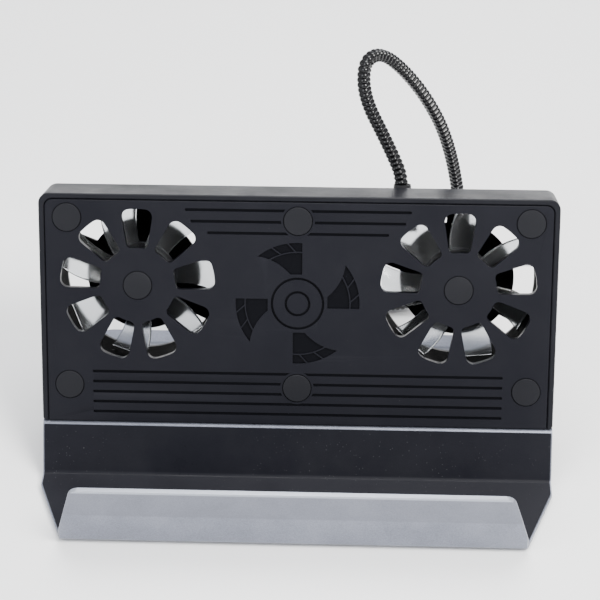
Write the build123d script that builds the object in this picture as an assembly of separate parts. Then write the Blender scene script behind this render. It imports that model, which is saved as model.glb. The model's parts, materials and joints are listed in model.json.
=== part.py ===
from build123d import *
import math
import os

# Tilted two-fan cooling stand: a black fan body stands on a bent metal tray and a folding rear leg.
# Working frame: X along the body, Y towards the back, Z up. All sizes in millimetres.
# Panel frame (for everything in the fan body): x along the body, y up its face, z out of the face.

# ---------------------------------------------------------------- driving dimensions
body_w = 220.0          # fan body, side to side
body_h = 100.0          # fan body, bottom edge to top edge along the face
body_t = 28.0           # fan body, face to back
lean = 28.0             # the face leans back from upright, degrees
panel_rise = 22.1       # height of the face's bottom edge above the table

wall = 2.3              # side walls and rim of the shell
back_wall = 2.2         # back of the shell
top_corner_r = 4.5
low_corner_r = 1.5
back_edge_r = 5.0
plate_t = 3.0           # face plate
plate_gap = 0.3         # groove between face plate and rim

fan_x = 68.2            # fan centres, from the middle
fan_y = 60.6
grille_r = 33.1         # outer reach of the grille windows
grille_hub_r = 16.2
window_count = 9
window_out_w = 14.6
window_in_w = 8.6
duct_r = 33.8
duct_wall = 1.8
duct_front_gap = 0.3

pad_r = 6.0             # stick-on rubber discs
pad_t = 1.1
pad_sink = 0.6
pad_x = 98.0
pad_low_y = 16.4
pad_high_y = 89.7

screw_r = 1.25          # face, fan and tray screws
screw_head_r = 2.5
screw_head_t = 1.3
screw_play = 0.05       # radial play of a screw in its hole
boss_r = 3.4

medal_y = 53.7
groove_w = 1.2
groove_deep = 0.8
groove_pitch = 4.48
low_groove_half = 88.0
low_groove_y = 4.5
low_groove_count = 5
top_groove_halves = (47.8, 45.5, 38.4)
top_groove_y = 93.7
top_groove_pitch = 4.9

hub_r = 15.2            # impeller
hub_wall = 1.4
hub_front = -5.6
hub_back = -18.6
blade_count = 7
blade_tip_gap = 1.4
blade_t = 1.1
shaft_r = 1.5
shaft_play = 0.05
bush_r = 3.2
tube_r = 4.3
motor_base_r = 24.8
motor_base_t = 2.0
strut_t = 2.6
struts = ((90, 9.6), (159, 11.5), (231, 5.0), (334, 12.2))      # angle and width of each
blade_start = {-1: 113, 1: 85}          # root angle of one blade at rest, left and right fan
lead_angle = {-1: 334, 1: 159}          # the strut that carries each fan's wire

sheet_t = 2.0           # tray sheet
strip_lean = 34.5       # tray strip under the body, from upright
tray_depth = 38.0       # fold to the outside of the lip
lip_h = 33.0            # tray floor's underside to the lip's top
lip_crease_h = 17.0
lip_flare = 5.0
lip_half_w = 97.8
lip_top_half_w = 91.0
taper_start = 7.2       # straight side of the floor before the corner is cut
flange_len = 20.0
liner_t = 0.9
liner_bare = 1.6        # bare metal left above the liner
foot_t = 1.0

leg_w = 190.0           # folding rear leg
leg_t = 1.6
leg_reach = 80.5        # leg's far edge behind the face's bottom edge
leg_foot_len = 9.0
leg_hinge_y = 18.0      # hinge axis up the back
leg_hinge_out = 5.0     # hinge axis behind the back
leg_pin_r = 1.5
pin_play = 0.05
knuckle_r = 3.0
knuckle_len = 14.0
ear_t = 2.5
ear_gap = 0.4
leg_pad_t = 1.0
hinge_x = 40.0

cord_r = 3.0            # braided lead
gland_x = 44.0
gland_y = 85.5
gland_size = (13.0, 11.0, 9.5)
gland_hole = (40.0, 86.5)
relief_len = 9.0
plug_len = 21.0
plug_w = 15.0
plug_h = 8.0
shell_len = 18.7
shell_w = 12.0
shell_h = 4.5
shell_wall = 0.35

# ---------------------------------------------------------------- frames
lean_rad = math.radians(lean)
up_face = (0, math.sin(lean_rad), math.cos(lean_rad))
out_of_face = (0, -math.cos(lean_rad), math.sin(lean_rad))


def panel_point(x, y, z):
    """A point of the panel frame, in the working frame."""
    return Vector(
        x,
        y * up_face[1] + z * out_of_face[1],
        panel_rise + y * up_face[2] + z * out_of_face[2],
    )


panel = Plane(origin=(0, 0, panel_rise), x_dir=(1, 0, 0), z_dir=out_of_face).location
plate_edge = body_w / 2 - wall - plate_gap
plate_top = body_h - wall - plate_gap
back_z = -body_t
inner_back_z = back_z + back_wall
duct_outer_r = duct_r + duct_wall
duct_front_z = -plate_t - duct_front_gap
pad_spots = [(sx * pad_x, y) for y in (pad_low_y, pad_high_y) for sx in (-1, 1)]
pad_spots += [(0, pad_low_y), (0, pad_high_y - 0.3)]
tray_screw_x = (-85.0, -30.0, 30.0, 85.0)
tray_screw_z = -12.0
ear_angles = (170, 225, 315)
ear_reach = 40.0
front_y = -(panel_rise - foot_t - sheet_t) * math.tan(math.radians(strip_lean)) - tray_depth
lip_over = (lip_h - lip_crease_h) * math.tan(math.radians(lip_flare))
shift = Vector(0, -(front_y - lip_over + leg_reach) / 2, 0)   # origin to the middle of the footprint

gland_exit = panel_point(gland_x, gland_y + gland_size[1] / 2, back_z - gland_size[2] / 2) + shift

# The lead's route in the part's own frame: up out of the gland, over in a tight stiff loop,
# down behind the body and along the table to the plug.
cord_route = [gland_exit, gland_exit + Vector(*up_face) * 16.7] + [Vector(*p) for p in (
    (35.5, 70.0, 112.5), (29.0, 73.0, 125.5), (25.3, 74.0, 138.5), (26.7, 77.5, 149.5),
    (34.5, 87.0, 146.5), (44.5, 92.2, 134.0), (56.0, 93.0, 119.0), (65.0, 94.0, 99.5),
    (70.0, 94.5, 72.5), (72.5, 93.0, 44.0), (68.0, 90.0, 18.5), (52.0, 87.0, 4.0),
    (34.0, 85.0, 4.0), (18.0, 84.0, 4.0),
)]

made = {}


def keep(name, shape, frame=None):
    """Place a piece, move it to the part's own origin and keep it under its name."""
    placed = frame * shape if frame is not None else shape
    made[name] = Location(shift) * placed


def disc(r, low, high, x=0.0, y=0.0):
    """A cylinder along the panel's normal, from depth low to depth high."""
    return Pos(x, y, low) * Cylinder(r, high - low, align=(Align.CENTER, Align.CENTER, Align.MIN))


def ring(r_in, r_out, low, high, x=0.0, y=0.0):
    return disc(r_out, low, high, x, y) - disc(r_in, low, high, x, y)


def box_between(x0, x1, y0, y1, z0, z1):
    return Pos((x0 + x1) / 2, (y0 + y1) / 2, (z0 + z1) / 2) * Box(x1 - x0, y1 - y0, z1 - z0)


def screw(length):
    """Pan-head screw, head's underside at z = 0, shank downwards."""
    head = fillet(disc(screw_head_r, 0, screw_head_t).edges().sort_by(Axis.Z)[-1], 0.5)
    slot = Box(3.2, 0.7, 1.2) + Box(0.7, 3.2, 1.2)
    shank = chamfer(disc(screw_r, -length, 0).edges().sort_by(Axis.Z)[0], 0.4)
    return (head + shank) - Pos(0, 0, screw_head_t) * slot


# ---------------------------------------------------------------- fan body
def make_face_plate():
    corner = top_corner_r - wall / 2
    outline = Pos(0, plate_top / 2) * Rectangle(2 * plate_edge, plate_top)
    outline = fillet(outline.vertices().sort_by(Axis.Y)[-2:], corner)
    plate = extrude(outline, -plate_t)
    plate = chamfer(plate.edges().group_by(Axis.Z)[-1], 0.35)
    window = make_face(Polyline(
        (-window_in_w / 2, grille_hub_r - 1), (window_in_w / 2, grille_hub_r - 1),
        (window_out_w / 2, grille_r + 1), (-window_out_w / 2, grille_r + 1), close=True))
    window &= Circle(grille_r) - Circle(grille_hub_r)
    window = fillet(window.vertices().sort_by(Axis.Y)[:2], 2.2)
    window = fillet(window.vertices().sort_by(Axis.Y)[-2:], 3.4)
    window_cut = extrude(window, -plate_t)
    for side in (-1, 1):
        for k in range(window_count):
            plate -= Pos(side * fan_x, fan_y) * Rot(0, 0, k * 360 / window_count) * window_cut
        plate -= disc(pad_r + 0.3, -pad_sink, 1, side * fan_x, fan_y)
    for x, y in pad_spots:
        plate -= disc(pad_r + 0.3, -pad_sink, 1, x, y)
        plate -= disc(screw_head_r + 0.2, -pad_sink - screw_head_t - 0.1, 1, x, y)
        plate -= disc(screw_r + screw_play, -plate_t - 1, 1, x, y)
    for k in range(low_groove_count):
        y = low_groove_y + k * groove_pitch
        plate -= groove(low_groove_half, y)
    for k, half in enumerate(top_groove_halves):
        plate -= groove(half, top_groove_y - k * top_groove_pitch)
    for x, y in pad_spots[-2:]:
        plate += ring(pad_r + 0.3, pad_r + 1.2, -plate_t, 0, x, y)
    return plate - medallion()


def groove(half, y):
    """Straight round-ended groove across the face plate."""
    flat = Pos(0, y) * SlotOverall(2 * half, groove_w)
    return Pos(0, 0, -groove_deep) * extrude(flat, groove_deep + 1)


def medallion():
    """Four swept blades and two rings sunk into the face between the fans."""
    blade = make_face([
        Line((1.9, 12.7), (1.9, 26.3)),
        ThreePointArc((1.9, 26.3), (-8.2, 25.1), (-17.0, 20.3)),
        ThreePointArc((-17.0, 20.3), (-9.6, 17.9), (-3.2, 12.7)),
        Line((-3.2, 12.7), (1.9, 12.7)),
    ])
    blade -= Circle(22.6) - Circle(22.1)
    for inner, outer in (((-0.6, 22.0), (-4.7, 26.5)), ((-7.1, 21.2), (-11.8, 24.6))):
        run = Vector(outer) - Vector(inner)
        mid = (Vector(inner) + Vector(outer)) * 0.5
        turn = math.degrees(math.atan2(run.Y, run.X))
        blade -= Pos(mid.X, mid.Y) * Rot(0, 0, turn) * Rectangle(run.length, 0.5)
    cut = ring(10.4, 11.4, -groove_deep, 1) + ring(4.5, 5.5, -groove_deep, 1)
    for k in range(4):
        cut += Rot(0, 0, 90 * k) * Pos(0, 0, -groove_deep) * extrude(blade, groove_deep + 1)
    return Pos(0, medal_y) * cut


def cavity(low_y, low_z):
    """Room inside the shell's walls; its top corners follow the face plate's."""
    high_y = body_h - wall
    outline = Pos(0, (low_y + high_y) / 2) * Rectangle(body_w - 2 * wall, high_y - low_y)
    outline = fillet(outline.vertices().sort_by(Axis.Y)[-2:], top_corner_r - wall / 2 + plate_gap)
    return Pos(0, 0, low_z) * extrude(outline, 1 - low_z)


def make_rear_shell():
    outline = Pos(0, body_h / 2) * Rectangle(body_w, body_h)
    outline = fillet(outline.vertices().sort_by(Axis.Y)[-2:], top_corner_r)
    outline = fillet(outline.vertices().sort_by(Axis.Y)[:2], low_corner_r)
    shell = extrude(outline, -body_t)
    back = shell.edges().group_by(Axis.Z)[0]
    shell = fillet([e for e in back if e.center().Y > 1], min(back_edge_r, body_t / 3))
    shell -= cavity(wall, inner_back_z)
    shell -= cavity(-1, -plate_t)
    shell = chamfer(shell.edges().group_by(Axis.Z)[-1].filter_by(Axis.X), 0.4)
    for side in (-1, 1):
        shell -= disc(duct_r, back_z - 1, 0, side * fan_x, fan_y)
    for x, y in pad_spots:
        shell += ring(screw_r + screw_play, boss_r, inner_back_z, -plate_t, x, y)
    for side in (-1, 1):
        for x, y in ear_spots(side):
            shell += ring(screw_r + screw_play, boss_r, inner_back_z, -17.0, x, y)
    for x in tray_screw_x:
        boss = Cylinder(boss_r + 0.6, 8.0, align=(Align.CENTER, Align.CENTER, Align.MIN))
        shell += Pos(x, wall, tray_screw_z) * Rot(-90, 0, 0) * boss
        hole = Cylinder(screw_r + screw_play, 14.0, align=(Align.CENTER, Align.CENTER, Align.MIN))
        shell -= Pos(x, -1, tray_screw_z) * Rot(-90, 0, 0) * hole
    for x, y in bracket_screw_spots():
        shell += disc(boss_r, inner_back_z, inner_back_z + 6, x, y)
        shell -= disc(screw_r + screw_play, back_z - 1, inner_back_z + 7, x, y)
    for x, y in board_spots:
        shell += ring(screw_r + screw_play, 2.6, inner_back_z, board_z, x, y)
    shell -= disc(cord_r - 0.6, back_z - 1, inner_back_z + 1, *gland_hole)
    return shell


def ear_spots(side):
    """Screw points of one fan frame, mirrored so that the upper one is nearer the middle."""
    spots = []
    for angle in ear_angles:
        a = math.radians(angle)
        spots.append((side * (fan_x + ear_reach * math.cos(a)), fan_y + ear_reach * math.sin(a)))
    return spots


def bracket_screw_spots():
    reach = knuckle_len / 2 + ear_gap + ear_t
    return [(side * hinge_x + d, leg_hinge_y + 8.5) for side in (-1, 1) for d in (-reach + 2.5, reach - 2.5)]


def make_fan_frame(side):
    """Duct ring, motor base on four struts, bearing tube and three screw ears."""
    cx = side * fan_x
    low = inner_back_z
    frame = ring(duct_r, duct_outer_r, low, duct_front_z, cx, fan_y)
    frame += disc(motor_base_r, low, low + motor_base_t, cx, fan_y)
    for angle, width in struts:
        strut = box_between(motor_base_r - 2, duct_r + 0.6, -width / 2, width / 2, low, low + strut_t)
        frame += Pos(cx, fan_y) * Rot(0, 0, angle) * strut
    frame += disc(tube_r, low, -9.0, cx, fan_y)
    frame -= disc(bush_r, low + motor_base_t, -8.0, cx, fan_y)
    slot = box_between(duct_r - 1, duct_outer_r + 1, -1.4, 1.4, low + strut_t, low + strut_t + 2.4)
    frame -= Pos(cx, fan_y) * Rot(0, 0, lead_angle[side]) * slot
    for (x, y), angle in zip(ear_spots(side), ear_angles):
        turn = angle if side > 0 else 180 - angle
        arm = box_between(duct_outer_r - 0.8, ear_reach, -3.0, 3.0, -17.0, -15.0)
        frame += Pos(cx, fan_y) * Rot(0, 0, turn) * arm
        frame += disc(boss_r, -17.0, -15.0, x, y)
        frame -= disc(screw_r + screw_play, -18.0, -14.0, x, y)
    frame -= box_between(-body_w, body_w, -1, body_h + 20, duct_front_z, 5)
    return frame


def make_impeller(side):
    """Hub cup with swept pitched blades; the two fans turn the same way."""
    cup = disc(hub_r, hub_back, hub_front) - disc(hub_r - hub_wall, hub_back - 1, hub_front - hub_wall)
    cup = fillet(cup.edges().filter_by(GeomType.CIRCLE).sort_by(Axis.Z)[-1], 0.8)
    cup += disc(2.8, hub_front - hub_wall - 2.0, hub_front - 0.5)
    cup -= disc(shaft_r, hub_back, hub_front - 0.8)
    tip_r = duct_r - blade_tip_gap
    mid_z = (hub_front + hub_back) / 2
    sections = []
    spans = ((hub_r - 0.7, 0, 46, 14.5), (0.5 * (hub_r + tip_r), -2, 37, 16.5), (tip_r, -7, 29, 18.0))
    for r, turn, pitch, chord in spans:
        plane = Plane(origin=(r, 0, mid_z), x_dir=(0, 1, 0), z_dir=(1, 0, 0))
        flat = plane * Rot(0, 0, pitch) * RectangleRounded(chord, blade_t, blade_t * 0.45)
        sections.append(Rot(0, 0, turn) * flat)
    blade = loft(sections)
    for k in range(blade_count):
        cup += Rot(0, 0, blade_start[side] + k * 360 / blade_count) * blade
    hollow = disc(hub_r - hub_wall, hub_back - 5, hub_front - hub_wall - 2.0)
    cup -= hollow - disc(2.8, hub_back - 5, hub_front)
    return Pos(side * fan_x, fan_y) * cup


def make_motor(side):
    """Inner pieces of one fan motor, as a dictionary of name to shape."""
    cx = side * fan_x
    inner = hub_r - hub_wall
    arms = ring(tube_r, 6.4, -15.5, -10.5)
    pole = box_between(5.6, 10.2, -1.3, 1.3, -15.5, -10.5)
    shoe = ring(9.4, 10.8, -15.5, -10.5) & box_between(0, 12, -4.6, 4.6, -16, -10)
    coil = box_between(6.6, 8.7, -3.0, 3.0, -17.0, -9.0) - box_between(6, 10, -1.35, 1.35, -15.55, -10.45)
    coils = []
    for k in range(4):
        arms += Rot(0, 0, 90 * k) * (pole + shoe)
        coils.append(Rot(0, 0, 90 * k) * coil)
    base_top = inner_back_z + motor_base_t
    board = ring(tube_r + 0.1, 12.4, base_top, base_top + 1.0)
    spot = Pos(cx, fan_y)
    return {
        "yoke_ring": spot * ring(inner - 0.8, inner, hub_back + 0.4, hub_front - hub_wall - 2.0),
        "magnet_ring": spot * ring(inner - 2.2, inner - 0.8, hub_back + 1.2, hub_front - hub_wall - 3.2),
        "fan_shaft": spot * disc(shaft_r, inner_back_z + motor_base_t + 0.4, hub_front - 0.8),
        "bearing_bush": spot * ring(shaft_r + shaft_play, bush_r, inner_back_z + motor_base_t, -9.2),
        "stator_core": spot * arms,
        "windings": Compound(children=[spot * c for c in coils]),
        "motor_board": spot * board,
    }


# ---------------------------------------------------------------- tray and leg, in side view
side_view = Plane(origin=(0, 0, 0), x_dir=(0, 1, 0), z_dir=(1, 0, 0))


def sheet_band(points, radii, depth, half_w):
    """A band of even depth beside a filleted side-view line, as wide as 2 * half_w."""
    line = FilletPolyline(*points, radius=radii)
    band = offset(line, amount=depth, side=Side.LEFT, closed=True)
    return side_solid(band, half_w)


def tray_line():
    """Upper side of the tray sheet, from the flange under the body to the top of the lip."""
    metal_top = foot_t + sheet_t
    corner = (0.0, panel_rise)
    rear = (flange_len * math.cos(lean_rad), panel_rise - flange_len * math.sin(lean_rad))
    fold = (-(panel_rise - metal_top) * math.tan(math.radians(strip_lean)), metal_top)
    lip_foot = (front_y + sheet_t, metal_top)
    crease = (front_y + sheet_t, foot_t + lip_crease_h)
    flare = math.tan(math.radians(lip_flare)) * (lip_h - lip_crease_h)
    top = (crease[0] - flare, foot_t + lip_h)
    return rear, corner, fold, lip_foot, crease, top


def plan_trim(shape, edge):
    """Cut the tray's floor corners and shape its lip; edge pulls the outline inwards."""
    fold_y = tray_line()[2][0]
    start_y = fold_y - taper_start
    half = body_w / 2 - edge
    lip_half = lip_half_w - edge
    floor = make_face(Polyline((half, 60), (half, start_y), (lip_half, front_y), (lip_half, front_y - 20),
                               (-lip_half, front_y - 20), (-lip_half, front_y), (-half, start_y),
                               (-half, 60), close=True))
    shape &= extrude(floor, 200)
    top = foot_t + lip_h - edge
    sole = foot_t + sheet_t + liner_t + 0.1
    side_line = [(half, -5), (half, sole), (lip_half + 1.3, sole), (lip_half, 9)]
    side_line.append((lip_top_half_w - edge, top))
    lip = make_face(Polyline(*side_line, *[(-x, z) for x, z in reversed(side_line)], close=True))
    lip = fillet(lip.vertices().filter_by_position(Axis.Y, 8, 10), 22)
    lip = fillet(lip.vertices().filter_by_position(Axis.Y, top - 0.1, top + 0.1), 5.0)
    upright = Plane(origin=(0, 0, 0), x_dir=(1, 0, 0), z_dir=(0, -1, 0))
    keep_lip = extrude(upright * lip, 200, both=True)
    ahead = box_between(-200, 200, front_y - 20, front_y + 9, -5, 200)
    return (shape - ahead) + (shape & ahead & keep_lip)


def make_tray_plate():
    line = tray_line()
    radii = [sheet_t + 0.8, 3.0, 1.2, 15.0]
    plate = sheet_band(line, radii, sheet_t, body_w / 2)
    plate = plan_trim(plate, 0)
    for x in tray_screw_x:
        hole = Cylinder(screw_r + 0.25, 10)
        spot = panel_point(x, 0, tray_screw_z)
        plate -= Location(spot, (-lean, 0, 0)) * hole
    return plate


def make_tray_liner():
    rear, corner, fold, lip_foot, crease, top = tray_line()
    run = Vector(fold[0] - corner[0], fold[1] - corner[1]).normalized()
    start = (corner[0] + run.X * liner_bare, corner[1] + run.Y * liner_bare)
    line = FilletPolyline(start, fold, lip_foot, crease, top, radius=[3.0, 1.2, 15.0])
    band = offset(line, amount=liner_t, side=Side.RIGHT, closed=True)
    return plan_trim(side_solid(band, body_w / 2), 0.6)


def hinge_point():
    return panel_point(0, leg_hinge_y, back_z - leg_hinge_out)


def leg_points():
    """Mid-line of the open leg in side view: hinge, bend and far edge."""
    axis = hinge_point()
    mid = leg_pad_t + leg_t / 2
    return (axis.Y, axis.Z), (leg_reach - leg_foot_len, mid), (leg_reach, mid)


def make_leg_plate():
    a, b, c = (Vector(*p) for p in leg_points())
    run = (b - a).normalized()
    up = Vector(-run.Y, run.X)
    half_bend = (math.pi / 2 - math.atan2(up.Y, up.X)) / 2
    bend = b + (up + Vector(0, 1)).normalized() * (leg_t / 2 / math.cos(half_bend))
    start = a + run * (knuckle_r + 2.5) + up * (leg_t / 2)
    line = FilletPolyline(start, bend, c + Vector(0, leg_t / 2), radius=[3.0])
    plate = side_solid(offset(line, amount=leg_t, side=Side.RIGHT, closed=True), leg_w / 2)
    plate = fillet(plate.edges().filter_by(Axis.Z).group_by(Axis.Y)[-1], 5.0)
    strap_line = Line(a + up * (leg_t / 2), start + run)
    strap = side_solid(offset(strap_line, amount=leg_t, side=Side.RIGHT, closed=True), knuckle_len / 2)
    for s in (-1, 1):
        plate += Pos(s * hinge_x, 0, 0) * strap
        plate += Pos(s * hinge_x, a.X, a.Y) * Rot(0, 90, 0) * Cylinder(knuckle_r, knuckle_len)
    for s in (-1, 1):
        plate -= Pos(s * hinge_x, a.X, a.Y) * Rot(0, 90, 0) * Cylinder(leg_pin_r, knuckle_len + 4)
    return plate


def side_solid(band, half_w):
    """A closed side-view outline, as wide as 2 * half_w."""
    return extrude(make_face(side_view * band.wire()), half_w, dir=(1, 0, 0), both=True)


def make_hinge_bracket(side):
    """Base plate on the back with two ears that carry the leg's pin, in the panel frame."""
    cx = side * hinge_x
    axis_z = back_z - leg_hinge_out
    reach = knuckle_len / 2 + ear_gap + ear_t
    base = box_between(cx - reach, cx + reach, leg_hinge_y - 4, leg_hinge_y + 12, back_z - 1.0, back_z)
    bracket = fillet(base.edges().filter_by(Axis.Z), 2.0)
    for s in (-1, 1):
        low = cx + s * (knuckle_len / 2 + ear_gap)
        high = low + s * ear_t
        x0, x1 = min(low, high), max(low, high)
        bracket += box_between(x0, x1, leg_hinge_y - 3.6, leg_hinge_y + 3.6, axis_z, back_z - 0.5)
        bracket += Pos((x0 + x1) / 2, leg_hinge_y, axis_z) * Rot(0, 90, 0) * Cylinder(3.6, ear_t)
    bracket -= Pos(cx, leg_hinge_y, axis_z) * Rot(0, 90, 0) * Cylinder(leg_pin_r + pin_play, 2 * reach + 4)
    for x, y in bracket_screw_spots():
        if x * side > 0:
            bracket -= disc(screw_r + screw_play, back_z - 2, back_z + 1, x, y)
    return bracket


def make_hinge_pin(side):
    """Pin with two riveted ends, outside the bracket's ears."""
    axis = hinge_point()
    reach = knuckle_len / 2 + ear_gap + ear_t + 0.1
    pin = Cylinder(leg_pin_r, 2 * reach)
    for s in (-1, 1):
        pin += Pos(0, 0, s * (reach + 0.4)) * Cylinder(2.3, 0.8)
    return Pos(side * hinge_x, axis.Y, axis.Z) * Rot(0, 90, 0) * pin


def make_washers():
    axis = hinge_point()
    washers = []
    for side in (-1, 1):
        for s in (-1, 1):
            x = side * hinge_x + s * (knuckle_len / 2 + 0.16)
            washer = Cylinder(2.8, 0.3) - Cylinder(leg_pin_r, 1)
            washers.append(Pos(x, axis.Y, axis.Z) * Rot(0, 90, 0) * washer)
    return Compound(children=washers)


def make_leg_pads():
    pads = []
    for x in (-70, 0, 70):
        pad = box_between(x - 14, x + 14, leg_reach - 7.6, leg_reach - 1.4, 0, leg_pad_t)
        pads.append(fillet(pad.edges().filter_by(Axis.Z), 2.5))
    return Compound(children=pads)


def make_tray_feet():
    fold_y = tray_line()[2][0]
    feet = []
    for x in (-78, 78):
        for y in (fold_y - 7.0, front_y + 7.5):
            foot = box_between(x - 12, x + 12, y - 3.2, y + 3.2, 0, foot_t)
            feet.append(fillet(foot.edges().filter_by(Axis.Z), 2.5))
    return Compound(children=feet)


# ---------------------------------------------------------------- wiring, gland, lead and plug
board_z = inner_back_z + 2.0
board_spots = ((-7.0, 69.0), (7.0, 69.0))


def make_board():
    board = box_between(-11, 11, 62, 76, board_z, board_z + 1.2)
    board += box_between(-4, 4, 63, 67, board_z + 1.2, board_z + 3.4)
    for x, y in board_spots:
        board -= disc(screw_r + screw_play, board_z - 1, board_z + 2, x, y)
    return board


def make_fan_lead(side):
    """Insulated fan wire: along a strut, through the duct's slot, to the junction board."""
    a = math.radians(lead_angle[side])
    r = 0.7
    high = inner_back_z + motor_base_t + 1.0 + r
    along = [(side * fan_x + d * math.cos(a), fan_y + d * math.sin(a), high) for d in (8.0, 44.0)]
    line = FilletPolyline(
        *along,
        (side * 18.5, fan_y + (5.9 if side > 0 else 1.4), inner_back_z + 2.0),
        (side * 13.5, fan_y + 5.0, board_z + 1.2 + r),
        (side * 8.5, fan_y + 4.9, board_z + 1.2 + r),
        radius=[4.0, 3.0, 3.0])
    return sweep(Plane(line @ 0, z_dir=line % 0) * Circle(r), line)


def make_gland():
    """Moulded cord outlet on the back; the lead leaves upwards through its top."""
    w, h, d = gland_size
    block = box_between(-w / 2, w / 2, -h / 2, h / 2, back_z - d, back_z)
    block = Pos(gland_x, gland_y) * block
    block = fillet(block.edges().group_by(Axis.Z)[0], 2.5)
    return block + disc(cord_r - 0.7, back_z, inner_back_z + 0.6, *gland_hole)


def make_relief():
    """Ribbed tapered sleeve on the gland's top."""
    sleeve = Cone(4.7, 3.7, relief_len, align=(Align.CENTER, Align.CENTER, Align.MIN))
    for k in range(3):
        sleeve -= Pos(0, 0, 2.0 + 2.3 * k) * (Cylinder(6, 0.8) - Cylinder(3.75 - 0.05 * k, 0.8))
    sleeve -= Cylinder(cord_r - 0.05, 3 * relief_len)
    return Location(gland_exit, (-lean, 0, 0)) * sleeve


def make_cord():
    """The lead's tube: straight runs joined by arcs as large as the runs allow."""
    runs = [b - a for a, b in zip(cord_route, cord_route[1:])]
    radii = []
    for before, after in zip(runs, runs[1:]):
        half_turn = math.radians(before.get_angle(after)) / 2
        radii.append(0.45 * min(before.length, after.length) / math.tan(half_turn))
    line = FilletPolyline(*cord_route, radius=radii)
    print("lead radii", [round(r, 1) for r in radii], "length", round(line.length, 1))
    tube = sweep(Plane(line @ 0, z_dir=line % 0) * Circle(cord_r), line)
    print("lead volume", round(tube.volume, 1), "expected", round(line.length * math.pi * cord_r ** 2, 1))
    return tube


def plug_frame():
    """At the lead's end: local z runs on along the lead, local y is up."""
    ahead = (cord_route[-1] - cord_route[-2]).normalized()
    return Plane(origin=cord_route[-1], x_dir=ahead.cross(Vector(0, 0, 1)), z_dir=ahead).location


def make_plug():
    body = Box(plug_w, plug_h, plug_len, align=(Align.CENTER, Align.CENTER, Align.MIN))
    body = fillet(body.edges().filter_by(Axis.Z), 2.2)
    body = fillet(body.edges().group_by(Axis.Z)[0], 1.6)
    hollow = Box(shell_w, shell_h, 20, align=(Align.CENTER, Align.CENTER, Align.MIN))
    hollow = Pos(0, 0, plug_len - 6) * hollow
    body -= hollow
    tip = Pos(0, 0, plug_len - 6)
    shell = Box(shell_w, shell_h, shell_len, align=(Align.CENTER, Align.CENTER, Align.MIN))
    inner = (shell_w - 2 * shell_wall, shell_h - 2 * shell_wall)
    shell = fillet(shell.edges().filter_by(Axis.Z), 0.6)
    shell -= Box(*inner, 3 * shell_len)
    tongue = Box(inner[0] - 0.4, 1.9, shell_len - 0.6, align=(Align.CENTER, Align.MAX, Align.MIN))
    tongue += Box(inner[0], inner[1], 4.5, align=(Align.CENTER, Align.CENTER, Align.MIN))
    contacts = []
    for k in range(4):
        x = (k - 1.5) * 2.3
        contacts.append(tip * Pos(x, 0.1, 11.2) * Box(1.1, 0.2, 11.0))
    return {
        "plug_body": body,
        "plug_shell": tip * shell,
        "plug_tongue": tip * tongue,
        "plug_contacts": Compound(children=contacts),
    }


# ---------------------------------------------------------------- the assembly
def add_fixings():
    """Screws, grip discs and board screws of the fan body."""
    head_z = -pad_sink - screw_head_t - 0.1
    keep("face_screws", Compound(children=[Pos(x, y, head_z) * screw(12.0) for x, y in pad_spots]), panel)
    grips = [disc_pad(x, y) for x, y in pad_spots]
    keep("grip_pads", Compound(children=grips), panel)
    keep("hub_pads", Compound(children=[disc_pad(s * fan_x, fan_y) for s in (-1, 1)]), panel)
    fan_screws = [Pos(x, y, -15.0) * screw(8.0) for s in (-1, 1) for x, y in ear_spots(s)]
    keep("fan_screws", Compound(children=fan_screws), panel)
    board_screws = [Pos(x, y, board_z + 1.2) * screw(3.0) for x, y in board_spots]
    keep("board_screws", Compound(children=board_screws), panel)
    tray_screws = [Pos(x, -sheet_t, tray_screw_z) * Rot(90, 0, 0) * screw(9.0) for x in tray_screw_x]
    keep("tray_screws", Compound(children=tray_screws), panel)
    bracket_screws = [Pos(x, y, back_z - 1.0) * Rot(180, 0, 0) * screw(7.0) for x, y in bracket_screw_spots()]
    keep("bracket_screws", Compound(children=bracket_screws), panel)


def disc_pad(x, y):
    pad = disc(pad_r, -pad_sink, pad_t - pad_sink, x, y)
    return fillet(pad.edges().sort_by(Axis.Z)[-1], 0.3)


keep("face_plate", make_face_plate(), panel)
keep("rear_shell", make_rear_shell(), panel)
keep("junction_board", make_board(), panel)
keep("cord_gland", make_gland(), panel)
add_fixings()
for label, side in (("left", -1), ("right", 1)):
    keep(f"{label}_fan_frame", make_fan_frame(side), panel)
    keep(f"{label}_impeller", make_impeller(side), panel)
    keep(f"{label}_fan_lead", make_fan_lead(side), panel)
    keep(f"{label}_hinge_bracket", make_hinge_bracket(side), panel)
    keep(f"{label}_hinge_pin", make_hinge_pin(side))
    for name, shape in make_motor(side).items():
        keep(f"{label}_{name}", shape, panel)
keep("tray_plate", make_tray_plate())
keep("tray_liner", make_tray_liner())
keep("tray_feet", make_tray_feet())
keep("leg_plate", make_leg_plate())
keep("leg_washers", make_washers())
keep("leg_pads", make_leg_pads())
made["strain_relief"] = make_relief()
made["usb_cord"] = make_cord()
for name, shape in make_plug().items():
    made[name] = plug_frame() * shape

os.makedirs("parts", exist_ok=True)
for name, shape in made.items():
    export_step(shape, f"parts/{name}.step")

# Places that the record states, in the part's own frame.
print("origin shift", round(shift.Y, 3), "front", round(front_y + shift.Y, 3))
for side in (-1, 1):
    print("fan axis point", [round(v, 3) for v in panel_point(side * fan_x, fan_y, -12) + shift])
print("fan axis", [round(v, 5) for v in out_of_face])
print("leg hinge", [round(v, 3) for v in hinge_point() + shift])
print("gland exit", [round(v, 3) for v in gland_exit])
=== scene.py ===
import bpy
import bmesh
import json
import math
from mathutils import Matrix, Vector


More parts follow.
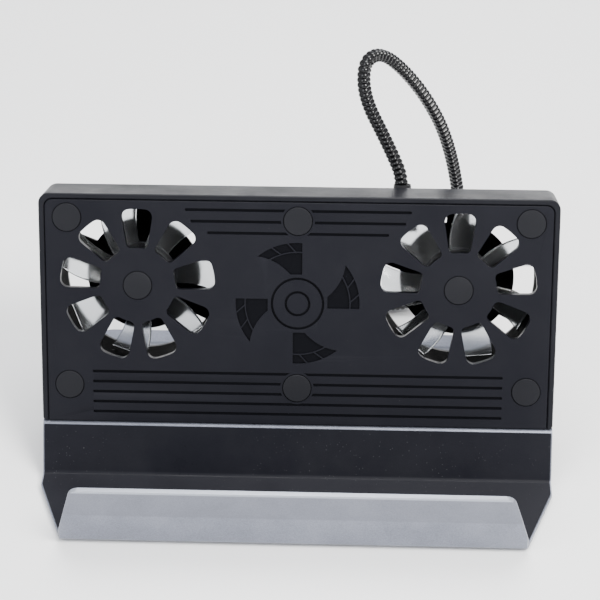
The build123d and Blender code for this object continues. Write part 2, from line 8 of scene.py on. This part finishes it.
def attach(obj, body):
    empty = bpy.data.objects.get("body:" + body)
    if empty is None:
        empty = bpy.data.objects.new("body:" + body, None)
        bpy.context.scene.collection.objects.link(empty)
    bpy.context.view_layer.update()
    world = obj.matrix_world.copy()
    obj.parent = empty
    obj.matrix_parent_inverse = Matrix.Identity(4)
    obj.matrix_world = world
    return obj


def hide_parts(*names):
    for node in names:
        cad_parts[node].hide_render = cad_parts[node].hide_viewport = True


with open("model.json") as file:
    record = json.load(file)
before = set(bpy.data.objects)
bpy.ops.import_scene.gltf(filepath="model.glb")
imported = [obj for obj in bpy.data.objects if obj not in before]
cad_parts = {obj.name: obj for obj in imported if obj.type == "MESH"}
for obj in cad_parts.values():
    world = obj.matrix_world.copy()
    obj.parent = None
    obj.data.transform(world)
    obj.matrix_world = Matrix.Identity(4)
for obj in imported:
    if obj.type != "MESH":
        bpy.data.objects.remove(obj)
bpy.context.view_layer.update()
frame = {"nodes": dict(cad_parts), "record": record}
nodes = frame["nodes"]
tilt = math.radians(28)                      # the fan body leans back from upright
panelOrigin = Vector((0, -0.013987, 0.0221))  # middle of the face's bottom edge
floorReach = 3.0                             # half the floor's width, well past the view


# ---- camera and light
camera = {"at": (0.03231, -0.60836, 0.61934), "lookAt": (0.00238, -0.01399, 0.09396),
          "roll": -0.962, "lens": 117, "sensor": 36}
lamps = [
    # name, place, aimed at, size, watts, colour
    ("keyLamp", (0.55, -0.35, 0.95), (0.0, 0.0, 0.05), 0.55, 22, (1.0, 0.99, 0.97)),
    ("fillLamp", (-0.85, -0.55, 0.75), (0.0, 0.0, 0.05), 0.9, 10, (0.95, 0.97, 1.0)),
    ("topLamp", (0.05, 0.45, 1.1), (0.0, 0.05, 0.0), 0.8, 16, (1.0, 1.0, 1.0)),
]
room = {"colour": (0.93, 0.95, 1.0), "strength": 0.9}


def makeCamera():
    data = bpy.data.cameras.new("camera")
    data.lens = camera["lens"]
    data.sensor_width = camera["sensor"]
    obj = bpy.data.objects.new("camera", data)
    bpy.context.collection.objects.link(obj)
    place, target = Vector(camera["at"]), Vector(camera["lookAt"])
    turn = (target - place).to_track_quat("-Z", "Y").to_matrix().to_4x4()
    roll = Matrix.Rotation(math.radians(camera["roll"]), 4, "Z")
    obj.matrix_world = Matrix.Translation(place) @ turn @ roll
    bpy.context.scene.camera = obj


def makeLamps():
    for name, place, target, size, watts, colour in lamps:
        data = bpy.data.lights.new(name, "AREA")
        data.shape = "DISK"
        data.size = size
        data.energy = watts
        data.color = colour
        obj = bpy.data.objects.new(name, data)
        bpy.context.collection.objects.link(obj)
        aim = (Vector(target) - Vector(place)).to_track_quat("-Z", "Y").to_matrix().to_4x4()
        obj.matrix_world = Matrix.Translation(place) @ aim
    world = bpy.data.worlds.new("room")
    bpy.context.scene.world = world
    world.use_nodes = True
    world.node_tree.nodes["Background"].inputs["Color"].default_value = (*room["colour"], 1)
    world.node_tree.nodes["Background"].inputs["Strength"].default_value = room["strength"]


makeCamera()
makeLamps()
print("camera and lamps made")


# ---- small helpers for meshes
def newPiece(name, bm, body, smoothAngle=35):
    mesh = bpy.data.meshes.new(name)
    bm.to_mesh(mesh)
    bm.free()
    obj = bpy.data.objects.new(name, mesh)
    bpy.context.collection.objects.link(obj)
    mesh.shade_smooth()
    mesh.set_sharp_from_angle(angle=math.radians(smoothAngle))
    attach(obj, body)
    return obj


def panelPlace(x, y, z):
    # from the tilted panel's own millimetres to metres in the frame
    along = Vector((1, 0, 0))
    up = Vector((0, math.sin(tilt), math.cos(tilt)))
    out = Vector((0, -math.cos(tilt), math.sin(tilt)))
    return panelOrigin + (along * x + up * y + out * z) * 0.001


def softened(node, name, body, width, segments, angle):
    # a copy of a machined piece with its edges broken
    bm = bmesh.new()
    bm.from_mesh(nodes[node].data)
    bmesh.ops.remove_doubles(bm, verts=bm.verts, dist=1e-6)
    bmesh.ops.dissolve_limit(bm, angle_limit=math.radians(0.6), verts=bm.verts, edges=bm.edges)
    bmesh.ops.recalc_face_normals(bm, faces=bm.faces)
    obj = newPiece(name, bm, body)
    soften = obj.modifiers.new("soften", "BEVEL")
    soften.width = width
    soften.segments = segments
    soften.limit_method = "ANGLE"
    soften.angle_limit = math.radians(angle)
    soften.use_clamp_overlap = True
    soften.harden_normals = True
    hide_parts(node)
    return obj


# ---- the lead
lead = {"radius": 0.003, "ringPitch": 0.0022, "ringDepth": 0.00055, "stepsPerRing": 8, "around": 32,
        "flutes": 4, "fluteDepth": 0.00035}
gland = Vector((0.044, 0.057652, 0.087073))
leadRoute = [gland, gland + Vector((0, math.sin(tilt), math.cos(tilt))) * 0.0115] + [Vector(p) for p in (
    (0.0400, 0.0683, 0.1050), (0.0345, 0.0712, 0.1165), (0.0285, 0.0733, 0.1290), (0.0262, 0.0745, 0.1405),
    (0.0275, 0.0785, 0.1490), (0.0345, 0.0862, 0.1470), (0.0445, 0.0922, 0.1335), (0.0548, 0.0935, 0.1175),
    (0.0632, 0.0942, 0.0985), (0.0692, 0.0945, 0.0725), (0.0725, 0.0930, 0.0440), (0.0680, 0.0900, 0.0185),
    (0.0520, 0.0870, 0.0040), (0.0340, 0.0850, 0.0040), (0.0180, 0.0840, 0.0040),
)]


def leadSpline():
    curve = bpy.data.curves.new("leadLine", "CURVE")
    curve.dimensions = "3D"
    spline = curve.splines.new("NURBS")
    spline.points.add(len(leadRoute) - 1)
    for point, place in zip(spline.points, leadRoute):
        point.co = (*place, 1)
    spline.order_u = 3
    spline.use_endpoint_u = True
    spline.resolution_u = 24
    obj = bpy.data.objects.new("leadLine", curve)
    bpy.context.collection.objects.link(obj)
    line = bpy.data.meshes.new_from_object(obj.evaluated_get(bpy.context.evaluated_depsgraph_get()))
    points = [v.co.copy() for v in line.vertices]
    bpy.data.objects.remove(obj)
    bpy.data.meshes.remove(line)
    return points


def evenly(points, step):
    # the same line with points a fixed step apart
    spots, carried = [points[0]], 0.0
    for a, b in zip(points, points[1:]):
        run = (b - a).length
        while carried + run >= step:
            a = a + (b - a) * ((step - carried) / run)
            run = (b - a).length
            spots.append(a)
            carried = 0.0
        carried += run
    return spots + [points[-1]]


def makeLead():
    points = leadSpline()
    spots = evenly(points, lead["ringPitch"] / lead["stepsPerRing"])
    bm = bmesh.new()
    uvs = bm.loops.layers.uv.new("wrap")
    side = Vector((1, 0, 0))
    rows = []
    count = lead["around"]
    for i, spot in enumerate(spots):
        ahead = (spots[min(i + 1, len(spots) - 1)] - spots[max(i - 1, 0)]).normalized()
        side = (side - ahead * side.dot(ahead)).normalized()
        across = ahead.cross(side)
        ring = []
        for k in range(count):
            turn = 2 * math.pi * k / count
            swell = abs(math.sin(math.pi * i / lead["stepsPerRing"])) ** 0.8
            flute = 0.5 + 0.5 * math.cos(lead["flutes"] * turn)      # the sleeve is pinched lengthways too
            r = lead["radius"] - lead["ringDepth"] * (1 - swell) - lead["fluteDepth"] * (1 - flute) ** 2
            ring.append(bm.verts.new(spot + (side * math.cos(turn) + across * math.sin(turn)) * r))
        rows.append(ring)
    for i, (low, high) in enumerate(zip(rows, rows[1:])):
        for k in range(count):
            face = bm.faces.new((low[k], low[(k + 1) % count], high[(k + 1) % count], high[k]))
            for loop, (u, v) in zip(face.loops, ((k, i), (k + 1, i), (k + 1, i + 1), (k, i + 1))):
                loop[uvs].uv = (u / count, v / lead["stepsPerRing"])
    bm.faces.new(list(reversed(rows[0])))
    bm.faces.new(rows[-1])
    bmesh.ops.recalc_face_normals(bm, faces=bm.faces)
    sleeve = newPiece("leadSleeve", bm, "stand", 60)
    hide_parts("usb_cord")
    return sleeve


leadSleeve = makeLead()


# ---- shared effects for the materials
def startGroup(name, inputs, outputs):
    group = bpy.data.node_groups.new(name, "ShaderNodeTree")
    for label, kind, value in inputs:
        group.interface.new_socket(label, in_out="INPUT", socket_type=kind).default_value = value
    for label, kind in outputs:
        group.interface.new_socket(label, in_out="OUTPUT", socket_type=kind)
    return group, group.nodes.new("NodeGroupInput"), group.nodes.new("NodeGroupOutput")


def addNode(tree, kind, values=None, **settings):
    node = tree.nodes.new(kind)
    for key, value in settings.items():
        setattr(node, key, value)
    for key, value in (values or {}).items():
        node.inputs[key].default_value = value
    return node


def mouldGrainGroup():
    # fine spark-eroded grain of moulded plastic, with faint handling marks
    group, given, result = startGroup(
        "mouldGrain",
        [("Vector", "NodeSocketVector", (0, 0, 0)), ("Scale", "NodeSocketFloat", 2600.0),
         ("Marks", "NodeSocketFloat", 0.3), ("Roughness", "NodeSocketFloat", 0.5)],
        [("Height", "NodeSocketFloat"), ("Roughness", "NodeSocketFloat"), ("Tone", "NodeSocketFloat")])
    link = group.links.new
    grain = addNode(group, "ShaderNodeTexNoise", {"Detail": 3.0, "Roughness": 0.6})
    cells = addNode(group, "ShaderNodeTexVoronoi", feature="SMOOTH_F1")
    smears = addNode(group, "ShaderNodeTexNoise", {"Scale": 28.0, "Detail": 5.0, "Roughness": 0.65})
    for texture in (grain, cells, smears):
        link(given.outputs["Vector"], texture.inputs["Vector"])
    for texture in (grain, cells):
        link(given.outputs["Scale"], texture.inputs["Scale"])
    height = addNode(group, "ShaderNodeMath", operation="MULTIPLY_ADD")
    link(cells.outputs["Distance"], height.inputs[0])
    height.inputs[1].default_value = 0.7
    link(grain.outputs["Fac"], height.inputs[2])
    link(height.outputs[0], result.inputs["Height"])
    spread = addNode(group, "ShaderNodeMapRange",
                     {"From Min": 0.35, "From Max": 0.75, "To Min": -0.5, "To Max": 0.5})
    link(smears.outputs["Fac"], spread.inputs["Value"])
    marked = addNode(group, "ShaderNodeMath", operation="MULTIPLY")
    link(spread.outputs[0], marked.inputs[0])
    link(given.outputs["Marks"], marked.inputs[1])
    rough = addNode(group, "ShaderNodeMath", operation="ADD", use_clamp=True)
    link(marked.outputs[0], rough.inputs[0])
    link(given.outputs["Roughness"], rough.inputs[1])
    link(rough.outputs[0], result.inputs["Roughness"])
    link(smears.outputs["Fac"], result.inputs["Tone"])
    return group


def dustGroup():
    # specks of lint and dust, with a few larger crumbs
    group, given, result = startGroup(
        "dustSpecks",
        [("Vector", "NodeSocketVector", (0, 0, 0)), ("Density", "NodeSocketFloat", 0.5),
         ("Size", "NodeSocketFloat", 0.12), ("Spread", "NodeSocketFloat", 1.0)],
        [("Mask", "NodeSocketFloat")])
    link = group.links.new
    small = addNode(group, "ShaderNodeTexVoronoi", {"Scale": 700.0, "Randomness": 1.0})
    large = addNode(group, "ShaderNodeTexVoronoi", {"Scale": 160.0, "Randomness": 1.0})
    patches = addNode(group, "ShaderNodeTexNoise", {"Scale": 22.0, "Detail": 4.0})
    for texture in (small, large, patches):
        link(given.outputs["Vector"], texture.inputs["Vector"])
    masks = []
    for cells, shrink in ((small, 1.0), (large, 0.35)):
        near = addNode(group, "ShaderNodeMath", operation="MULTIPLY")
        link(given.outputs["Size"], near.inputs[0])
        near.inputs[1].default_value = shrink
        inside = addNode(group, "ShaderNodeMath", operation="LESS_THAN")
        link(cells.outputs["Distance"], inside.inputs[0])
        link(near.outputs[0], inside.inputs[1])
        chance = addNode(group, "ShaderNodeSeparateColor")
        link(cells.outputs["Color"], chance.inputs[0])
        kept = addNode(group, "ShaderNodeMath", operation="LESS_THAN")
        link(chance.outputs[0], kept.inputs[0])
        link(given.outputs["Density"], kept.inputs[1])
        both = addNode(group, "ShaderNodeMath", operation="MULTIPLY")
        link(inside.outputs[0], both.inputs[0])
        link(kept.outputs[0], both.inputs[1])
        masks.append(both)
    either = addNode(group, "ShaderNodeMath", operation="MAXIMUM")
    link(masks[0].outputs[0], either.inputs[0])
    link(masks[1].outputs[0], either.inputs[1])
    cover = addNode(group, "ShaderNodeMapRange", {"From Min": 0.4, "From Max": 0.62})
    link(patches.outputs["Fac"], cover.inputs["Value"])
    thinned = addNode(group, "ShaderNodeMath", operation="MULTIPLY")
    link(either.outputs[0], thinned.inputs[0])
    link(cover.outputs[0], thinned.inputs[1])
    final = addNode(group, "ShaderNodeMath", operation="MULTIPLY", use_clamp=True)
    link(thinned.outputs[0], final.inputs[0])
    link(given.outputs["Spread"], final.inputs[1])
    link(final.outputs[0], result.inputs["Mask"])
    return group


def metalFlakeGroup():
    # sparkle and soft cloudiness of silver paint
    group, given, result = startGroup(
        "metalFlake",
        [("Vector", "NodeSocketVector", (0, 0, 0)), ("Light", "NodeSocketColor", (0.6, 0.62, 0.65, 1)),
         ("Dark", "NodeSocketColor", (0.3, 0.31, 0.33, 1)), ("Roughness", "NodeSocketFloat", 0.35)],
        [("Color", "NodeSocketColor"), ("Roughness", "NodeSocketFloat"), ("Height", "NodeSocketFloat")])
    link = group.links.new
    flakes = addNode(group, "ShaderNodeTexVoronoi", {"Scale": 3200.0})
    cloud = addNode(group, "ShaderNodeTexNoise", {"Scale": 60.0, "Detail": 4.0})
    peel = addNode(group, "ShaderNodeTexNoise", {"Scale": 900.0, "Detail": 2.0})
    for texture in (flakes, cloud, peel):
        link(given.outputs["Vector"], texture.inputs["Vector"])
    pick = addNode(group, "ShaderNodeSeparateColor")
    link(flakes.outputs["Color"], pick.inputs[0])
    blend = addNode(group, "ShaderNodeMath", operation="MULTIPLY_ADD")
    link(pick.outputs[0], blend.inputs[0])
    blend.inputs[1].default_value = 0.45
    link(cloud.outputs["Fac"], blend.inputs[2])
    colour = addNode(group, "ShaderNodeMix", data_type="RGBA")
    link(blend.outputs[0], colour.inputs["Factor"])
    link(given.outputs["Dark"], colour.inputs["A"])
    link(given.outputs["Light"], colour.inputs["B"])
    link(colour.outputs["Result"], result.inputs["Color"])
    rough = addNode(group, "ShaderNodeMath", operation="MULTIPLY_ADD")
    link(pick.outputs[1], rough.inputs[0])
    rough.inputs[1].default_value = 0.12
    link(given.outputs["Roughness"], rough.inputs[2])
    link(rough.outputs[0], result.inputs["Roughness"])
    link(peel.outputs["Fac"], result.inputs["Height"])
    return group


mouldGrain, dustSpecks, metalFlake = mouldGrainGroup(), dustGroup(), metalFlakeGroup()


def startMaterial(name, **values):
    material = bpy.data.materials.new(name)
    material.use_nodes = True
    tree = material.node_tree
    shader = tree.nodes["Principled BSDF"]
    for label, value in values.items():
        shader.inputs[label].default_value = value
    coords = tree.nodes.new("ShaderNodeTexCoord")
    return material, tree, shader, coords.outputs["Object"]


def useGroup(tree, group, coords, **values):
    node = tree.nodes.new("ShaderNodeGroup")
    node.node_tree = group
    tree.links.new(coords, node.inputs["Vector"])
    for label, value in values.items():
        node.inputs[label].default_value = value
    return node


def bumpFrom(tree, shader, height, distance, strength=1.0, after=None):
    bump = addNode(tree, "ShaderNodeBump", {"Strength": strength, "Distance": distance})
    tree.links.new(height, bump.inputs["Height"])
    if after is not None:
        tree.links.new(after, bump.inputs["Normal"])
    tree.links.new(bump.outputs[0], shader.inputs["Normal"])
    return bump.outputs[0]


def mixColours(tree, factor, a, b):
    mix = addNode(tree, "ShaderNodeMix", data_type="RGBA")
    if factor is not None:
        tree.links.new(factor, mix.inputs["Factor"])
    for socket, value in (("A", a), ("B", b)):
        if isinstance(value, tuple):
            mix.inputs[socket].default_value = (*value, 1) if len(value) == 3 else value
        else:
            tree.links.new(value, mix.inputs[socket])
    return mix.outputs["Result"]


def plastic(name, colour, lighter, roughness, grainScale=2600.0, grainDepth=0.00002, marks=0.25,
            dust=0.0, dustSize=0.1, dustTone=(0.35, 0.35, 0.34), specular=0.14, clear=0.0):
    material, tree, shader, coords = startMaterial(name)
    shader.inputs["Specular IOR Level"].default_value = specular
    shader.inputs["Transmission Weight"].default_value = clear
    grain = useGroup(tree, mouldGrain, coords, Scale=grainScale, Marks=marks, Roughness=roughness)
    tone = mixColours(tree, grain.outputs["Tone"], colour, lighter)
    if dust > 0:
        specks = useGroup(tree, dustSpecks, coords, Density=dust, Size=dustSize)
        tone = mixColours(tree, specks.outputs["Mask"], tone, dustTone)
    tree.links.new(tone, shader.inputs["Base Color"])
    tree.links.new(grain.outputs["Roughness"], shader.inputs["Roughness"])
    bumpFrom(tree, shader, grain.outputs["Height"], grainDepth, 0.6)
    return material


def plateMaterial():
    # matt moulded face; the sunk emblem and grooves are smoother than the grain around them and painted darker as
    # shade
    material, tree, shader, coords = startMaterial("facePlastic")
    shader.inputs["Specular IOR Level"].default_value = 0.08
    link = tree.links.new
    turned = addNode(tree, "ShaderNodeMapping", vector_type="POINT")
    turn = Matrix.Rotation(-(math.pi / 2 - tilt), 4, "X")
    turned.inputs["Location"].default_value = -(turn @ panelOrigin)
    turned.inputs["Rotation"].default_value = (-(math.pi / 2 - tilt), 0, 0)
    link(coords, turned.inputs["Vector"])
    axes = addNode(tree, "ShaderNodeSeparateXYZ")
    link(turned.outputs[0], axes.inputs[0])
    sunk = addNode(tree, "ShaderNodeMapRange", {"From Min": -0.0002, "From Max": -0.0004})
    link(axes.outputs["Z"], sunk.inputs["Value"])
    grain = useGroup(tree, mouldGrain, coords, Scale=2300.0, Marks=0.22, Roughness=0.47)
    tone = mixColours(tree, grain.outputs["Tone"], (0.0078, 0.0080, 0.0108), (0.0118, 0.0120, 0.0156))
    # painted shade: the sunk emblem and grooves are painted darker than the face around them
    tone = mixColours(tree, sunk.outputs[0], tone, (0.0030, 0.0031, 0.0044))
    specks = useGroup(tree, dustSpecks, coords, Density=0.1, Size=0.06)
    tone = mixColours(tree, specks.outputs["Mask"], tone, (0.07, 0.07, 0.07))
    link(tone, shader.inputs["Base Color"])
    rough = addNode(tree, "ShaderNodeMix", {"B": 0.3}, data_type="FLOAT")
    link(sunk.outputs[0], rough.inputs["Factor"])
    link(grain.outputs["Roughness"], rough.inputs["A"])
    link(rough.outputs["Result"], shader.inputs["Roughness"])
    bumpFrom(tree, shader, grain.outputs["Height"], 0.000025, 0.6)
    return material


# crease: where the painted shade on the lip begins; rim: the band of painted highlight along the lip's top
lipLevels = {"crease": (0.0176, 0.0184), "rim": (0.0323, 0.0329), "front": -0.0625}   # metres, Z, Z and Y


def silverMaterial():
    # silver paint: painted shade (darker) and rougher above the lip's crease, a painted highlight (brighter) along
    # the lip's top cut edge
    material, tree, shader, coords = startMaterial("silverPaint", Metallic=0.75)
    link = tree.links.new
    flake = useGroup(tree, metalFlake, coords, Light=(0.225, 0.238, 0.285, 1), Dark=(0.112, 0.120, 0.148, 1),
                     Roughness=0.34)
    axes = addNode(tree, "ShaderNodeSeparateXYZ")
    link(coords, axes.inputs[0])
    creaseLow, creaseHigh = lipLevels["crease"]
    upper = addNode(tree, "ShaderNodeMapRange", {"From Min": creaseLow, "From Max": creaseHigh})
    link(axes.outputs["Z"], upper.inputs["Value"])
    front = addNode(tree, "ShaderNodeMath", {1: lipLevels["front"]}, operation="LESS_THAN")
    link(axes.outputs["Y"], front.inputs[0])
    upperLipShade = addNode(tree, "ShaderNodeMath", operation="MULTIPLY")
    link(upper.outputs[0], upperLipShade.inputs[0])
    link(front.outputs[0], upperLipShade.inputs[1])
    # painted shade: the front of the lip above the crease is painted darker for the shade on its upper face; the
    # added roughness is the paint's own
    darker = mixColours(tree, None, flake.outputs["Color"], (0.165, 0.172, 0.2))
    darker.node.inputs["Factor"].default_value = 0.4
    tone = mixColours(tree, upperLipShade.outputs[0], flake.outputs["Color"], darker)
    # painted highlight: a brighter band of colour along the lip's top edge
    rimHighlightLow, rimHighlightHigh = lipLevels["rim"]
    rim = addNode(tree, "ShaderNodeMapRange", {"From Min": rimHighlightLow, "From Max": rimHighlightHigh})
    link(axes.outputs["Z"], rim.inputs["Value"])
    tone = mixColours(tree, rim.outputs[0], tone, (0.36, 0.38, 0.43))
    link(tone, shader.inputs["Base Color"])
    rough = addNode(tree, "ShaderNodeMath", {1: 0.1}, operation="MULTIPLY_ADD")
    link(upperLipShade.outputs[0], rough.inputs[0])
    link(flake.outputs["Roughness"], rough.inputs[2])
    link(rough.outputs[0], shader.inputs["Roughness"])
    bumpFrom(tree, shader, flake.outputs["Height"], 0.00002, 0.5)
    return material


def steelMaterial(name, colour, roughness, lines=1800.0, metallic=1.0):
    material, tree, shader, coords = startMaterial(name, Metallic=metallic)
    link = tree.links.new
    stretched = addNode(tree, "ShaderNodeMapping", {"Scale": (0.04, 1, 1)})
    link(coords, stretched.inputs["Vector"])
    brushed = addNode(tree, "ShaderNodeTexNoise", {"Scale": lines, "Detail": 3.0})
    link(stretched.outputs[0], brushed.inputs["Vector"])
    darker = tuple(c * 0.7 for c in colour)
    link(mixColours(tree, brushed.outputs["Fac"], darker, colour), shader.inputs["Base Color"])
    rough = addNode(tree, "ShaderNodeMath", {1: 0.22, 2: roughness - 0.1}, operation="MULTIPLY_ADD")
    link(brushed.outputs["Fac"], rough.inputs[0])
    link(rough.outputs[0], shader.inputs["Roughness"])
    bumpFrom(tree, shader, brushed.outputs["Fac"], 0.00001, 0.5)
    return material


def copperMaterial():
    # enamelled wire laid in turns
    material, tree, shader, coords = startMaterial("copperWire", Metallic=1.0)
    turns = addNode(tree, "ShaderNodeTexWave", {"Scale": 900.0, "Distortion": 0.6}, bands_direction="Z")
    tree.links.new(coords, turns.inputs["Vector"])
    tree.links.new(mixColours(tree, turns.outputs["Fac"], (0.20, 0.06, 0.02), (0.75, 0.33, 0.14)),
                   shader.inputs["Base Color"])
    rough = addNode(tree, "ShaderNodeMapRange", {"To Min": 0.45, "To Max": 0.22})
    tree.links.new(turns.outputs["Fac"], rough.inputs["Value"])
    tree.links.new(rough.outputs[0], shader.inputs["Roughness"])
    bumpFrom(tree, shader, turns.outputs["Fac"], 0.0001)
    return material


def boardMaterial():
    # solder mask with copper tracks under it
    material, tree, shader, coords = startMaterial("solderMask")
    tracks = addNode(tree, "ShaderNodeTexBrick", {
        "Scale": 260.0, "Mortar Size": 0.012, "Color1": (0.008, 0.06, 0.02, 1),
        "Color2": (0.01, 0.075, 0.025, 1), "Mortar": (0.04, 0.2, 0.07, 1)})
    tree.links.new(coords, tracks.inputs["Vector"])
    tree.links.new(tracks.outputs["Color"], shader.inputs["Base Color"])
    rough = addNode(tree, "ShaderNodeMapRange", {"To Min": 0.22, "To Max": 0.4})
    tree.links.new(tracks.outputs["Fac"], rough.inputs["Value"])
    tree.links.new(rough.outputs[0], shader.inputs["Roughness"])
    bumpFrom(tree, shader, tracks.outputs["Fac"], 0.00004)
    return material


def leadMaterial():
    # glossy black wound sleeve with fine threads across each ring
    material, tree, shader, coords = startMaterial("leadBraid")
    link = tree.links.new
    uv = addNode(tree, "ShaderNodeUVMap", uv_map="wrap")
    scaled = addNode(tree, "ShaderNodeMapping", {"Scale": (1, 4, 1)})
    link(uv.outputs[0], scaled.inputs["Vector"])
    threads = addNode(tree, "ShaderNodeTexWave", {"Scale": 22.0, "Distortion": 1.2, "Detail": 2.0},
                      bands_direction="X")
    link(scaled.outputs[0], threads.inputs["Vector"])
    tone = mixColours(tree, threads.outputs["Fac"], (0.0016, 0.0016, 0.0019), (0.0045, 0.0045, 0.0049))
    link(tone, shader.inputs["Base Color"])
    rough = addNode(tree, "ShaderNodeMapRange", {"To Min": 0.24, "To Max": 0.16})
    link(threads.outputs["Fac"], rough.inputs["Value"])
    link(rough.outputs[0], shader.inputs["Roughness"])
    bumpFrom(tree, shader, threads.outputs["Fac"], 0.00002, 0.2)
    shader.inputs["Specular IOR Level"].default_value = 0.12
    shader.inputs["Coat Weight"].default_value = 0.5
    shader.inputs["Coat Roughness"].default_value = 0.04
    return material


makeMaterial = {
    "body_plastic": plastic("shellPlastic", (0.0078, 0.0080, 0.0104), (0.0125, 0.0128, 0.0158), 0.42,
                            marks=0.2, dust=0.06, dustSize=0.06, dustTone=(0.07, 0.07, 0.07), specular=0.12),
    "plate_plastic": plateMaterial(),
    "fan_plastic": plastic("fanFramePlastic", (0.0022, 0.0022, 0.0026), (0.0038, 0.0038, 0.0042), 0.85,
                           specular=0.02),
    "blade_plastic": plastic("bladeClear", (0.66, 0.68, 0.70), (0.74, 0.76, 0.78), 0.2, marks=0.08,
                             grainDepth=0.000004, specular=0.35, clear=0.97),
    "grip_rubber": plastic("gripRubber", (0.0105, 0.0107, 0.0128), (0.0150, 0.0153, 0.0178), 0.62,
                           grainScale=1500.0, dust=0.08, dustSize=0.07, dustTone=(0.06, 0.06, 0.06), specular=0.08),
    "liner_rubber": plastic("linerRubber", (0.0062, 0.0064, 0.0092), (0.0104, 0.0107, 0.0142), 0.42,
                            grainScale=1700.0, grainDepth=0.00004, marks=0.3, dust=0.5, dustSize=0.11,
                            dustTone=(0.055, 0.056, 0.06), specular=0.1),
    "silver_metal": silverMaterial(),
    "screw_steel": steelMaterial("screwSteel", (0.45, 0.45, 0.46), 0.3),
    "bracket_steel": steelMaterial("bracketSteel", (0.5, 0.5, 0.52), 0.32),
    "core_steel": steelMaterial("coreSteel", (0.3, 0.3, 0.31), 0.38, 4000.0),
    "magnet": plastic("magnetFerrite", (0.03, 0.028, 0.027), (0.05, 0.047, 0.045), 0.6),
    "bush_brass": steelMaterial("bushBronze", (0.6, 0.38, 0.15), 0.3),
    "copper": copperMaterial(),
    "circuit_board": boardMaterial(),
    "washer_plastic": plastic("washerNylon", (0.62, 0.6, 0.54), (0.7, 0.68, 0.62), 0.4),
    "wire_cover": plastic("wireCover", (0.008, 0.008, 0.009), (0.013, 0.013, 0.014), 0.35),
    "gland_rubber": plastic("glandRubber", (0.012, 0.012, 0.013), (0.02, 0.02, 0.022), 0.55,
                            grainScale=1800.0),
    "cord_braid": leadMaterial(),
    "plug_rubber": plastic("plugCover", (0.012, 0.012, 0.013), (0.02, 0.02, 0.022), 0.45),
    "plug_metal": steelMaterial("plugShellMetal", (0.72, 0.72, 0.73), 0.2, 2500.0),
    "plug_insert": plastic("plugInsert", (0.7, 0.7, 0.7), (0.78, 0.78, 0.78), 0.35),
    "contact_gold": steelMaterial("contactGold", (0.85, 0.6, 0.22), 0.2),
}
slotOf = {s["node"]: s["material_slot"] for s in frame["record"]["subparts"]}
for nodeName, nodeObject in nodes.items():
    nodeObject.data.materials.clear()
    nodeObject.data.materials.append(makeMaterial[slotOf[nodeName]])
leadSleeve.data.materials.append(makeMaterial["cord_braid"])
print("materials made")


# ---- pieces with broken edges in place of the plain ones
softPieces = [
    # node, name, body, slot, edge width, segments, angle
    ("tray_plate", "trayMetal", "stand", "silver_metal", 0.00045, 3, 30),
    ("tray_liner", "trayPad", "stand", "liner_rubber", 0.00018, 2, 30),
    ("leg_plate", "legMetal", "leg", "silver_metal", 0.00035, 3, 30),
    ("face_plate", "facePanel", "stand", "plate_plastic", 0.0002, 2, 40),
    ("grip_pads", "gripDiscs", "stand", "grip_rubber", 0.00035, 3, 40),
    ("hub_pads", "hubDiscs", "stand", "grip_rubber", 0.00035, 3, 40),
]
for node, name, body, slotName, width, segments, angle in softPieces:
    piece = softened(node, name, body, width, segments, angle)
    piece.data.materials.append(makeMaterial[slotName])
print("sheet, panel and pad pieces made")


# ---- plain foil discs on the backs of the motors
# millimetres on the panel
motorFoil = {"radius": 13.5, "thick": 0.12, "across": 136.4, "height": 60.6, "depth": -25.8}


def makeMotorFoil(name, x):
    bm = bmesh.new()
    bmesh.ops.create_circle(bm, cap_ends=True, segments=72, radius=motorFoil["radius"])
    rim = bmesh.ops.extrude_face_region(bm, geom=bm.faces[:])
    raised = [v for v in rim["geom"] if isinstance(v, bmesh.types.BMVert)]
    bmesh.ops.translate(bm, vec=(0, 0, motorFoil["thick"]), verts=raised)
    for vert in bm.verts:
        vert.co = panelPlace(x + vert.co.x, motorFoil["height"] + vert.co.y, motorFoil["depth"] - vert.co.z)
    bmesh.ops.recalc_face_normals(bm, faces=bm.faces)
    foil = newPiece(name, bm, "stand")
    foil.data.materials.append(foilMaterial)
    return foil


foilMaterial = steelMaterial("motorFoilSilver", (0.52, 0.53, 0.55), 0.3, 900.0)
for sideName, sign in (("left", -1), ("right", 1)):
    makeMotorFoil(sideName + "MotorFoil", sign * motorFoil["across"] / 2)
print("motor foils made")


# ---- floor
def makeFloor():
    bm = bmesh.new()
    bmesh.ops.create_grid(bm, x_segments=1, y_segments=1, size=floorReach)
    mesh = bpy.data.meshes.new("floor")
    bm.to_mesh(mesh)
    bm.free()
    floor = bpy.data.objects.new("floor", mesh)
    bpy.context.collection.objects.link(floor)
    material, tree, shader, coords = startMaterial("paleFloor", Roughness=0.6)
    cloud = addNode(tree, "ShaderNodeTexNoise", {"Scale": 6.0, "Detail": 5.0})
    tree.links.new(coords, cloud.inputs["Vector"])
    tree.links.new(mixColours(tree, cloud.outputs["Fac"], (0.86, 0.86, 0.855), (0.92, 0.92, 0.915)),
                   shader.inputs["Base Color"])
    mesh.materials.append(material)


makeFloor()
print("floor made")
